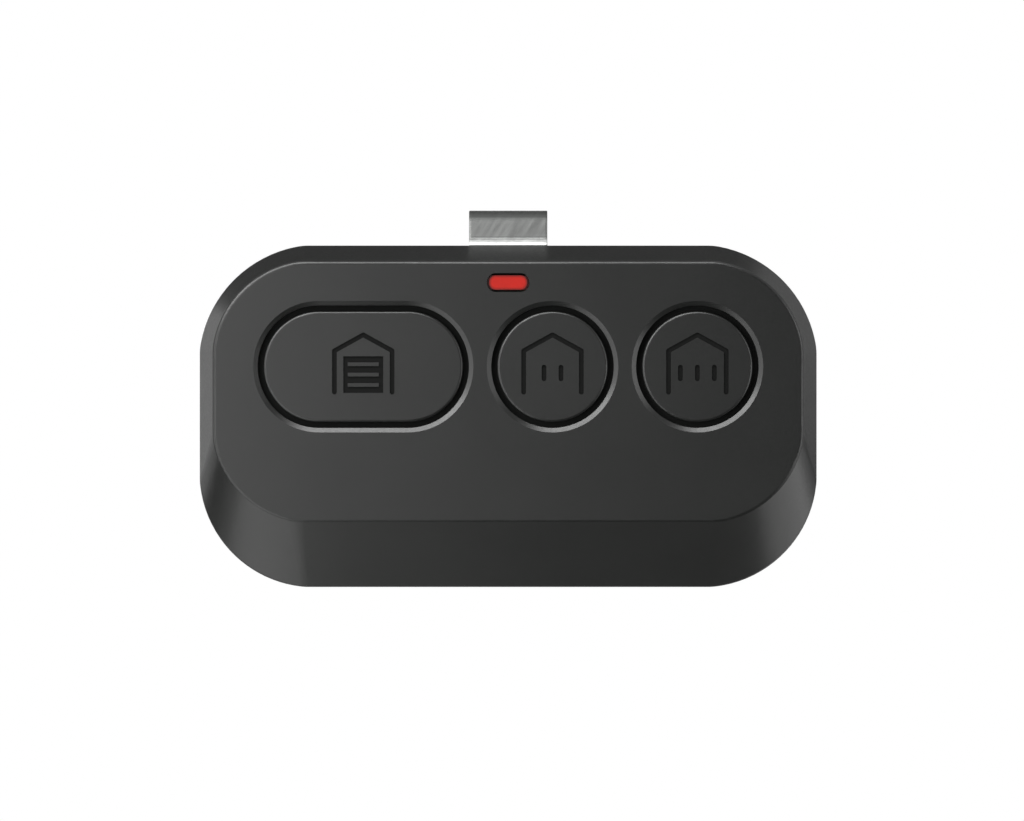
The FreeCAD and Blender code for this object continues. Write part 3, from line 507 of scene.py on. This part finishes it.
def platedMetal(name, look):
    # Thin plating on rolled or turned metal: fine lines in the direction of rolling, or rings from turning,
    # and a slow drift in tone where the plating is thicker.
    material, tree = newMaterial(name)
    place = addNode(tree, "ShaderNodeTexCoord")
    stretch = [1 / (look["lineMm"] * mm)] * 3
    stretch["XYZ".index(look["along"])] = 1 / (look["lineLengthMm"] * mm)
    run = addNode(tree, "ShaderNodeMapping", {"Scale": stretch}, {"Vector": (place, "Object")})
    lines = addNode(tree, "ShaderNodeTexNoise", {"Scale": 1.0, "Detail": 3.0}, {"Vector": (run, 0)})
    drift = addNode(tree, "ShaderNodeTexNoise", {"Scale": 1 / (look["driftMm"] * mm)},
                    {"Vector": (place, "Object")})
    colour = addNode(tree, "ShaderNodeMix", {"data_type": "RGBA", 6: hexColour(look["dark"]),
                                             7: hexColour(look["light"])}, {0: (drift, "Fac")})
    gloss = addNode(tree, "ShaderNodeMapRange", glossSpan(look["roughness"], *lineGloss),
                    {"Value": (lines, "Fac")})
    bump = addNode(tree, "ShaderNodeBump", {"Strength": look["bump"], "Distance": lineDepthMm * mm},
                   {"Height": (lines, "Fac")})
    shader = addNode(tree, "ShaderNodeBsdfPrincipled", {"Metallic": 1.0},
                     {"Base Color": (colour, 2), "Roughness": (gloss, 0), "Normal": (bump, 0)})
    finishMaterial(tree, shader)
    return material, tree, shader, colour, place


metalLooks = {
    "zincPlatedSteel": {"nodes": ("board_screws",), "dark": "#a9adb3", "light": "#c9cbc6", "lineMm": 0.1,
                        "lineLengthMm": 0.4, "along": "Y", "driftMm": 1.5, "roughness": 0.32, "bump": 0.2},
    "nickelPlatedSteel": {"nodes": ("battery_can", "battery_cap"), "dark": "#b4b2aa", "light": "#cfcdc6",
                          "lineMm": 0.15, "lineLengthMm": 6.0, "along": "X", "driftMm": 6.0,
                          "roughness": 0.27, "bump": 0.15},
    "tinPlatedBronze": {"nodes": ("positive_contact", "negative_contact"), "dark": "#a9a59a",
                        "light": "#c4c1b7", "lineMm": 0.1, "lineLengthMm": 3.0, "along": "Z",
                        "driftMm": 2.0, "roughness": 0.34, "bump": 0.2},
    "drawnNickelSilver": {"nodes": ("radio_crystal", "large_switch_cover", "middle_switch_cover",
                                    "right_switch_cover"), "dark": "#a3a29b", "light": "#bebdb6",
                          "lineMm": 0.12, "lineLengthMm": 2.5, "along": "X", "driftMm": 1.5,
                          "roughness": 0.36, "bump": 0.2},
    "stainlessSpring": {"nodes": ("large_snap_dome", "middle_snap_dome", "right_snap_dome"),
                        "dark": "#9b9a96", "light": "#b5b4b0", "lineMm": 0.08, "lineLengthMm": 2.0,
                        "along": "Z", "driftMm": 2.0, "roughness": 0.25, "bump": 0.15},
}
for name, look in metalLooks.items():
    dress(platedMetal(name, look)[0], *look["nodes"])


def enamelledCopper(name, look):
    # Copper wire, drawn and enamelled: a clear orange-brown coat over the metal, and bright solder
    # where its feet stand on the board.
    material, tree, shader, colour, place = platedMetal(name, look)
    apart = addNode(tree, "ShaderNodeSeparateXYZ", links={0: (place, "Object")})
    foot = addNode(tree, "ShaderNodeMapRange", {"From Min": look["solderMm"][1] * mm,
                                                "From Max": look["solderMm"][0] * mm},
                   {"Value": (apart, "Y")})
    both = addNode(tree, "ShaderNodeMix", {"data_type": "RGBA", 7: hexColour(look["solder"])},
                   {0: (foot, 0), 6: (colour, 2)})
    tree.links.new(both.outputs[2], shader.inputs["Base Color"])
    return material


wireLook = {"dark": "#8e4522", "light": "#b2602f", "lineMm": 0.3, "lineLengthMm": 3.0, "along": "Z",
            "driftMm": 3.0, "roughness": 0.24, "bump": 0.1, "solder": "#bdbcb8", "solderMm": (-5.6, -5.2)}
dress(enamelledCopper("enamelledCopper", wireLook), "loop_antenna")


def tinnedChip(name, look, centreZ):
    # Fired ceramic body between two tinned ends. On a resistor the face is a dark glazed film.
    material, tree = newMaterial(name)
    place = addNode(tree, "ShaderNodeTexCoord")
    grain = addNode(tree, "ShaderNodeTexNoise", {"Scale": 1 / (look["grainMm"] * mm), "Detail": 2.0},
                    {"Vector": (place, "Object")})
    apart = addNode(tree, "ShaderNodeSeparateXYZ", links={0: (place, "Object")})
    facing = addNode(tree, "ShaderNodeSeparateXYZ", links={0: (place, "Normal")})
    fromRow = addNode(tree, "ShaderNodeMath", {"operation": "SUBTRACT", 1: centreZ}, {0: (apart, "Z")})
    away = addNode(tree, "ShaderNodeMath", {"operation": "ABSOLUTE"}, {0: (fromRow, 0)})
    end = addNode(tree, "ShaderNodeMath", {"operation": "GREATER_THAN", 1: look["bodyMm"] / 2 * mm},
                  {0: (away, 0)})
    face = addNode(tree, "ShaderNodeMath", {"operation": "GREATER_THAN", 1: facingLimit}, {0: (facing, "Y")})
    fired = addNode(tree, "ShaderNodeMix", {"data_type": "RGBA", 6: hexColour(look["dark"]),
                                            7: hexColour(look["light"])}, {0: (grain, "Fac")})
    body = addNode(tree, "ShaderNodeMix", {"data_type": "RGBA", 7: hexColour(look["face"])},
                   {0: (face, 0), 6: (fired, 2)})
    colour = addNode(tree, "ShaderNodeMix", {"data_type": "RGBA", 7: hexColour(look["tin"])},
                     {0: (end, 0), 6: (body, 2)})
    gloss = addNode(tree, "ShaderNodeMapRange", {"To Min": look["bodyRoughness"],
                                                 "To Max": look["tinRoughness"]}, {"Value": (end, 0)})
    shader = addNode(tree, "ShaderNodeBsdfPrincipled",
                     links={"Base Color": (colour, 2), "Roughness": (gloss, 0), "Metallic": (end, 0)})
    finishMaterial(tree, shader)
    return material


chipLooks = {
    "board_capacitors": {"dark": "#8b6b4b", "light": "#a17f5c", "face": "#9a7856", "tin": "#c3c2bd",
                         "grainMm": 0.15, "bodyMm": 1.0, "bodyRoughness": 0.5, "tinRoughness": 0.3},
    "board_resistors": {"dark": "#d8d5cb", "light": "#e6e4dc", "face": "#1a1b1e", "tin": "#c3c2bd",
                        "grainMm": 0.15, "bodyMm": 1.0, "bodyRoughness": 0.35, "tinRoughness": 0.3},
}
for node, look in chipLooks.items():
    low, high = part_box(node)
    dress(tinnedChip("tinned_" + node, look, (low.z + high.z) / 2), node)


def solderMask(name, look):
    # Glass-epoxy laminate under green solder mask: glossy, paler where copper runs under the mask,
    # and the bare tan laminate on its milled edge.
    material, tree = newMaterial(name)
    place = addNode(tree, "ShaderNodeTexCoord")
    apart = addNode(tree, "ShaderNodeSeparateXYZ", links={0: (place, "Object")})
    facing = addNode(tree, "ShaderNodeSeparateXYZ", links={0: (place, "Normal")})
    blocks = addNode(tree, "ShaderNodeTexVoronoi", {"distance": "CHEBYCHEV",
                                                    "Scale": 1 / (look["blockMm"] * mm),
                                                    "Randomness": look["blockRandomness"]},
                     {"Vector": (place, "Object")})
    which = addNode(tree, "ShaderNodeSeparateColor", links={0: (blocks, "Color")})
    side = addNode(tree, "ShaderNodeMath", {"operation": "GREATER_THAN", 1: look["uprightShare"]},
                   {0: (which, 0)})
    bare = addNode(tree, "ShaderNodeMath", {"operation": "LESS_THAN", 1: look["copperShare"]},
                   {0: (which, 1)})
    tracks = []
    for axis in ("X", "Z"):
        spot = addNode(tree, "ShaderNodeMath", {"operation": "DIVIDE", 1: look["pitchMm"] * mm},
                       {0: (apart, axis)})
        part = addNode(tree, "ShaderNodeMath", {"operation": "FRACT"}, {0: (spot, 0)})
        tracks.append(addNode(tree, "ShaderNodeMath", {"operation": "LESS_THAN", 1: look["trackShare"]},
                              {0: (part, 0)}))
    track = addNode(tree, "ShaderNodeMix", links={0: (side, 0), 2: (tracks[0], 0), 3: (tracks[1], 0)})
    copper = addNode(tree, "ShaderNodeMath", {"operation": "MULTIPLY"}, {0: (track, 0), 1: (bare, 0)})
    mask = addNode(tree, "ShaderNodeMix", {"data_type": "RGBA", 6: hexColour(look["mask"]),
                                           7: hexColour(look["overCopper"])}, {0: (copper, 0)})
    edge = addNode(tree, "ShaderNodeMath", {"operation": "ABSOLUTE"}, {0: (facing, "Y")})
    flat = addNode(tree, "ShaderNodeMath", {"operation": "GREATER_THAN", 1: facingLimit}, {0: (edge, 0)})
    colour = addNode(tree, "ShaderNodeMix", {"data_type": "RGBA", 6: hexColour(look["laminate"])},
                     {0: (flat, 0), 7: (mask, 2)})
    bump = addNode(tree, "ShaderNodeBump", {"Strength": look["bump"], "Distance": look["copperMm"] * mm},
                   {"Height": (copper, 0)})
    gloss = addNode(tree, "ShaderNodeMapRange", {"To Min": look["edgeRoughness"],
                                                 "To Max": look["roughness"]}, {"Value": (flat, 0)})
    shader = addNode(tree, "ShaderNodeBsdfPrincipled", {"IOR": 1.52},
                     {"Base Color": (colour, 2), "Roughness": (gloss, 0), "Normal": (bump, 0)})
    finishMaterial(tree, shader)
    return material


boardLook = {"mask": "#1d4a2c", "overCopper": "#2c6a3f", "laminate": "#a59a63", "blockMm": 7.0,
             "blockRandomness": 0.9, "uprightShare": 0.5, "pitchMm": 1.1, "trackShare": 0.4,
             "copperShare": 0.75, "copperMm": 0.04, "bump": 0.5, "roughness": 0.28, "edgeRoughness": 0.8}
dress(solderMask("solderMask", boardLook), "circuit_board")
print("inner materials done")


# Foam pad between the coin cell and the rear cover

pad = {"edgeMm": 0.18, "edgeSteps": 8, "rings": 18, "segments": 96, "rippleMm": 0.015,
       "rippleScaleMm": 1.4, "fill": 0.5}


def padMesh(low, high, size):
    # A die-cut disc: flat where it is pressed, with edges that bulge a little, and a faint ripple
    centre, half = (low + high) / 2, (high - low) / 2
    radius, edge = half.x, size["edgeMm"] * mm
    profile = [(radius - edge) * i / size["rings"] for i in range(1, size["rings"] + 1)]
    heights = [half.y] * size["rings"]
    for i in range(1, size["edgeSteps"] + 1):
        turn = math.pi / 2 * i / size["edgeSteps"]
        profile.append(radius - edge + edge * math.sin(turn))
        heights.append(half.y - edge + edge * math.cos(turn))
    mesh = bmesh.new()
    sheets = []
    for sign in (-1, 1):
        middle = mesh.verts.new((centre.x, centre.y + sign * half.y, centre.z))
        rings = []
        for reach, height in zip(profile, heights):
            ring = []
            for i in range(size["segments"]):
                turn = math.tau * i / size["segments"]
                spot = Vector((centre.x + reach * math.cos(turn), centre.y,
                               centre.z + reach * math.sin(turn)))
                wave = (noise.noise(spot / (size["rippleScaleMm"] * mm)) - 1) / 2
                out = sign * (height + size["rippleMm"] * mm * wave)
                ring.append(mesh.verts.new((spot.x, spot.y + out, spot.z)))
            rings.append(ring)
        for i in range(size["segments"]):
            mesh.faces.new((middle, rings[0][i - 1], rings[0][i]))
        for inner, outer in zip(rings, rings[1:]):
            for i in range(size["segments"]):
                mesh.faces.new((inner[i - 1], outer[i - 1], outer[i], inner[i]))
        sheets.append(rings[-1])
    for i in range(size["segments"]):
        mesh.faces.new((sheets[0][i - 1], sheets[0][i], sheets[1][i], sheets[1][i - 1]))
    bmesh.ops.recalc_face_normals(mesh, faces=mesh.faces)
    return finishedMesh("cellPad", mesh)


def closedCellFoam(name, look):
    # Closed-cell polyurethane foam, sliced and die cut: dull and dark, with the open halves of tiny bubbles,
    # painted darker in their hollows as painted shade
    material, tree = newMaterial(name)
    place = addNode(tree, "ShaderNodeTexCoord")
    bubbles = addNode(tree, "ShaderNodeTexVoronoi", {"Scale": 1 / (look["bubbleMm"] * mm)},
                      {"Vector": (place, "Object")})
    colour = addNode(tree, "ShaderNodeMix", {"data_type": "RGBA", 6: hexColour(look["deep"]),
                                             7: hexColour(look["wall"])}, {0: (bubbles, "Distance")})
    bump = addNode(tree, "ShaderNodeBump", {"Strength": look["bump"], "Distance": look["bumpMm"] * mm},
                   {"Height": (bubbles, "Distance")})
    shader = addNode(tree, "ShaderNodeBsdfPrincipled", {"IOR": 1.5, "Roughness": look["roughness"],
                                                        "Specular IOR Level": look["specular"]},
                     {"Base Color": (colour, 2), "Normal": (bump, 0)})
    finishMaterial(tree, shader)
    return material


foamLook = {"deep": "#1c1c1d", "wall": "#38383a", "bubbleMm": 0.28, "bump": 0.6, "bumpMm": 0.05,
            "roughness": 0.92, "specular": 0.3}
cellPad = meshPiece("cellPad", padMesh(*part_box("battery_pad"), pad),
                    closedCellFoam("closedCellFoam", foamLook))
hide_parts("battery_pad")
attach(cellPad, "rear_cover")
print("foam pad done")


# Legs of the chip and the solder on the board

legs = {"count": 8, "pitchMm": 0.6, "widthMm": 0.26, "sheetMm": 0.13, "rootMm": 0.1, "reachMm": 0.85,
        "footMm": 0.35, "bendMm": 0.3, "riseShare": 0.5, "footLift": 1.1, "bevelMm": 0.02}


def legMesh(low, high, size):
    # Bent legs on both sides of the chip, from the middle of its height down to the board
    half, boardY = size["sheetMm"] / 2 * mm, low.y
    rise = (high.y - low.y) * size["riseShare"]
    lift = half * size["footLift"]
    reach, foot = size["reachMm"] * mm, size["footMm"] * mm
    knee = reach - foot - size["bendMm"] * mm
    line = [(-size["rootMm"] * mm, rise), (knee, rise), (reach - foot, lift), (reach, lift)]
    mesh = bmesh.new()
    for side, startX in ((-1, low.x), (1, high.x)):
        for i in range(size["count"]):
            z = (low.z + high.z) / 2 + (i - (size["count"] - 1) / 2) * size["pitchMm"] * mm
            rings = []
            for k, (out, up) in enumerate(line):
                before, after = Vector(line[max(k - 1, 0)]), Vector(line[min(k + 1, len(line) - 1)])
                along = (after - before).normalized()
                across = Vector((-along.y, along.x)) * half
                ring = []
                for sign, edge in ((1, -1), (1, 1), (-1, 1), (-1, -1)):
                    ring.append(mesh.verts.new((startX + side * (out + sign * across.x),
                                                boardY + up + sign * across.y,
                                                z + edge * size["widthMm"] / 2 * mm)))
                rings.append(ring)
            skinRings(mesh, rings)
    bmesh.ops.bevel(mesh, geom=mesh.edges, offset=size["bevelMm"] * mm, segments=1, affect="EDGES")
    return finishedMesh("chipLegs", mesh)


chipLegs = meshPiece("chipLegs", legMesh(*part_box("microcontroller"), legs),
                     bpy.data.materials["tinPlatedBronze"], smooth=False)
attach(chipLegs, "housing")

solder = {"segments": 24, "steps": 5, "heightMm": 0.42, "flareMm": 0.34, "wireFit": 1.05,
          "padInsetMm": 0.5, "padRadiusMm": 0.45, "padEndMm": 1.0,
          "tin": "#c2c2bf", "frost": "#a9aaa8", "frostMm": 0.12, "roughness": (0.15, 0.4)}


def solderPlaces(size):
    # Where each foot stands: (x, y of the board, z, radius)
    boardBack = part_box("circuit_board")[1].y
    low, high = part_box("loop_antenna")
    wire = (high.x - low.x) / 2
    places = [((low.x + high.x) / 2, boardBack, z, wire * size["wireFit"])
              for z in (low.z + wire, high.z - wire)]
    low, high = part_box("positive_contact")
    end = size["padEndMm"] * mm
    places += [(high.x - size["padInsetMm"] * mm, boardBack, z, size["padRadiusMm"] * mm)
               for z in (low.z + end, high.z - end)]
    return places


def solderMesh(places, size):
    # A concave skirt of solder round each foot
    mesh = bmesh.new()
    for x, boardY, z, radius in places:
        rings = []
        for step in range(size["steps"] + 1):
            share = step / size["steps"]
            reach = radius + size["flareMm"] * mm * (1 - share) ** 2
            height = size["heightMm"] * mm * share
            turns = [math.tau * i / size["segments"] for i in range(size["segments"])]
            rings.append([mesh.verts.new((x + reach * math.cos(turn), boardY + height,
                                          z + reach * math.sin(turn))) for turn in turns])
        skinRings(mesh, rings)
    return finishedMesh("solderJoints", mesh)


def wettedSolder(name, look):
    # Lead-free solder, hand wetted: bright and soft edged, frosted where it froze last
    material, tree = newMaterial(name)
    place = addNode(tree, "ShaderNodeTexCoord")
    frost = addNode(tree, "ShaderNodeTexNoise", {"Scale": 1 / (look["frostMm"] * mm), "Detail": 2.0},
                    {"Vector": (place, "Object")})
    gloss = addNode(tree, "ShaderNodeMapRange", {"To Min": look["roughness"][0],
                                                 "To Max": look["roughness"][1]}, {"Value": (frost, "Fac")})
    shade = addNode(tree, "ShaderNodeMix", {"data_type": "RGBA", 6: hexColour(look["frost"]),
                                            7: hexColour(look["tin"])}, {0: (frost, "Fac")})
    shader = addNode(tree, "ShaderNodeBsdfPrincipled", {"Metallic": 1.0},
                     {"Roughness": (gloss, 0), "Base Color": (shade, 2)})
    finishMaterial(tree, shader)
    return material


solderJoints = meshPiece("solderJoints", solderMesh(solderPlaces(solder), solder),
                         wettedSolder("wettedSolder", solder))
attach(solderJoints, "housing")
print("board details done")


# Studio: white ground, soft boxes, cards that draw the edges, and a pale floor

studio = {
    "ground": 1.0, "room": 0.75,
    "floorMm": -120.0, "floorReach": 0.5, "floorFadeShare": 0.35, "floorSides": 96, "floor": "#e9e9e8",
    "boxes": {  # place and size in metres, glow is the face's own brightness
        "keyBox": {"place": (-0.115, -0.3, 0.02), "size": (0.08, 0.2), "glow": 8.0, "fills": True},
        "skyBox": {"place": (-0.052, -0.2, 0.296), "size": (0.27, 0.14), "glow": 15.5, "fills": False},
        "sideSkyBox": {"place": (-0.23, -0.2, 0.2), "size": (0.2, 0.14), "glow": 15.5, "fills": False},
        "leftBox": {"place": (-0.32, -0.17, 0.0), "size": (0.2, 0.36), "glow": 3.4, "fills": False},
        "lowFrontBox": {"place": (-0.12, -0.11, -0.11), "aim": (-0.12, 0.0, 0.01), "size": (0.16, 0.1),
                        "glow": 3.5, "fills": False},
        "rightBox": {"place": (0.3, -0.2, 0.0), "size": (0.18, 0.4), "glow": 4.5, "fills": False},
        "lowLeftBox": {"place": (-0.051, -0.01, -0.114), "size": (0.08, 0.14), "glow": 2.0, "fills": False},
        "lowRightBox": {"place": (0.108, 0.015, -0.1), "size": (0.11, 0.15), "glow": 1.45, "fills": False},
    },
    "cards": {  # corners in metres
        "topCard": {"shade": "#606060",
                    "corners": ((-0.17, 0.4, 0.085), (-0.4, 0.4, 0.23), (-0.25, 0.4, 0.55),
                                (0.25, 0.4, 0.55), (0.27, 0.4, 0.39), (0.115, 0.4, 0.14))},
        "leftCard": {"shade": "#f4f4f4",
                     "corners": ((-0.6, 0.44, -0.3), (-0.1, 0.44, -0.3), (-0.1, 0.44, 0.5),
                                 (-0.6, 0.44, 0.5))},
        "rightCard": {"shade": "#acacac",
                      "corners": ((0.1, 0.42, -0.3), (0.46, 0.42, -0.3), (0.46, 0.42, 0.5),
                                  (0.1, 0.42, 0.5))},
        "lowRightCard": {"shade": "#404040",
                         "corners": ((0.16, 0.4, -0.3), (0.42, 0.4, -0.3), (0.42, 0.4, -0.01),
                                     (0.16, 0.4, -0.01))},
        "streakCard": {"shade": "#101010",
                       "corners": ((-0.36, 0.05, -0.117), (-0.185, 0.05, -0.117), (-0.185, 0.15, -0.07),
                                   (-0.36, 0.15, -0.07))},
        "underCard": {"shade": "#b8b8b8",
                      "corners": ((0.0, -0.06, -0.11), (0.11, -0.06, -0.11), (0.11, 0.04, -0.11),
                                  (0.0, 0.04, -0.11))},
        "frontCard": {"shade": "#101010",
                      "corners": ((-0.03, -0.36, -0.11), (0.18, -0.36, -0.11), (0.18, -0.06, -0.11),
                                  (-0.03, -0.06, -0.11))},
        "endCard": {"shade": "#101010",
                    "corners": ((0.1, -0.088, 0.005), (0.1, -0.104, 0.1), (0.1, -0.16, 0.1),
                                (0.1, -0.16, -0.09), (0.1, -0.104, -0.09))},
        "lensCard": {"shade": "#101010",
                     "corners": ((0.03, -0.3, -0.4), (0.5, -0.3, -0.4), (0.5, -0.3, 0.4), (0.03, -0.3, 0.4))},
    },
}


def softBox(name, setup):
    data = bpy.data.lights.new(name, "AREA")
    data.shape = "RECTANGLE"
    data.size, data.size_y = setup["size"]
    data.energy = setup["glow"] * math.pi * setup["size"][0] * setup["size"][1]
    lamp = newObject(name, data)
    lamp.location = setup["place"]
    towards = Vector(setup.get("aim", (0, 0, 0))) - Vector(setup["place"])
    lamp.rotation_euler = towards.to_track_quat("-Z", "Y").to_euler()
    lamp.visible_camera = False
    lamp.visible_diffuse = setup["fills"]  # the others are only there to be mirrored


def card(name, setup):
    # A dark or pale card that is only mirrored, as a photographer stands them round a black case
    material, tree = newMaterial(name)
    finishMaterial(tree, addNode(tree, "ShaderNodeBsdfDiffuse", {"Color": hexColour(setup["shade"])}))
    mesh = bpy.data.meshes.new(name)
    mesh.from_pydata(setup["corners"], [], [tuple(range(len(setup["corners"])))])
    piece = meshPiece(name, mesh, material, smooth=False)
    piece.visible_camera = False
    piece.visible_diffuse = False
    piece.visible_shadow = False


def whiteGround(setup):
    # White wherever it is looked at or mirrored, and dimmer as the light that falls on the part
    world = bpy.data.worlds.new("studio")
    bpy.context.scene.world = world
    world.use_nodes = True
    tree = world.node_tree
    tree.nodes.clear()
    rays = addNode(tree, "ShaderNodeLightPath")
    first = addNode(tree, "ShaderNodeMath", {"operation": "MAXIMUM"},
                    {0: (rays, "Is Camera Ray"), 1: (rays, "Is Glossy Ray")})
    seen = addNode(tree, "ShaderNodeMath", {"operation": "MAXIMUM"},
                   {0: (first, 0), 1: (rays, "Is Transmission Ray")})
    room = addNode(tree, "ShaderNodeBackground", {"Color": (1, 1, 1, 1), "Strength": setup["room"]})
    ground = addNode(tree, "ShaderNodeBackground", {"Color": (1, 1, 1, 1), "Strength": setup["ground"]})
    mixed = addNode(tree, "ShaderNodeMixShader", links={0: (seen, 0), 1: (room, 0), 2: (ground, 0)})
    addNode(tree, "ShaderNodeOutputWorld", links={"Surface": (mixed, 0)})


def paleFloor(setup):
    # A pale sheet below the part, which fades into the white ground towards its rim and is clear from below
    material, tree = newMaterial("floorSheet")
    reach, sides = setup["floorReach"], setup["floorSides"]
    place = addNode(tree, "ShaderNodeTexCoord")
    away = addNode(tree, "ShaderNodeVectorMath", {"operation": "LENGTH"}, {0: (place, "Object")})
    fade = addNode(tree, "ShaderNodeMapRange", {"From Min": reach * setup["floorFadeShare"],
                                                "From Max": reach, "interpolation_type": "SMOOTHSTEP"},
                   {"Value": (away, "Value")})
    sheet = addNode(tree, "ShaderNodeBsdfDiffuse", {"Color": hexColour(setup["floor"])})
    gone = addNode(tree, "ShaderNodeBsdfTransparent")
    side = addNode(tree, "ShaderNodeNewGeometry")
    clear = addNode(tree, "ShaderNodeMath", {"operation": "MAXIMUM"}, {0: (fade, 0), 1: (side, "Backfacing")})
    finishMaterial(tree, addNode(tree, "ShaderNodeMixShader", links={0: (clear, 0), 1: (sheet, 0),
                                                                    2: (gone, 0)}))
    mesh = bpy.data.meshes.new("floorSheet")
    turns = [i * math.tau / sides for i in range(sides)]
    rim = [(reach * math.cos(turn), reach * math.sin(turn), 0) for turn in turns]
    mesh.from_pydata(rim, [], [tuple(range(sides))])
    floor = meshPiece("floorSheet", mesh, material, smooth=False)
    floor.location = (0, 0, setup["floorMm"] * mm)


whiteGround(studio)
for name, setup in studio["boxes"].items():
    softBox(name, setup)
for name, setup in studio["cards"].items():
    card(name, setup)
paleFloor(studio)
print("studio lit")

bpy.context.scene.view_settings.view_transform = "Standard"
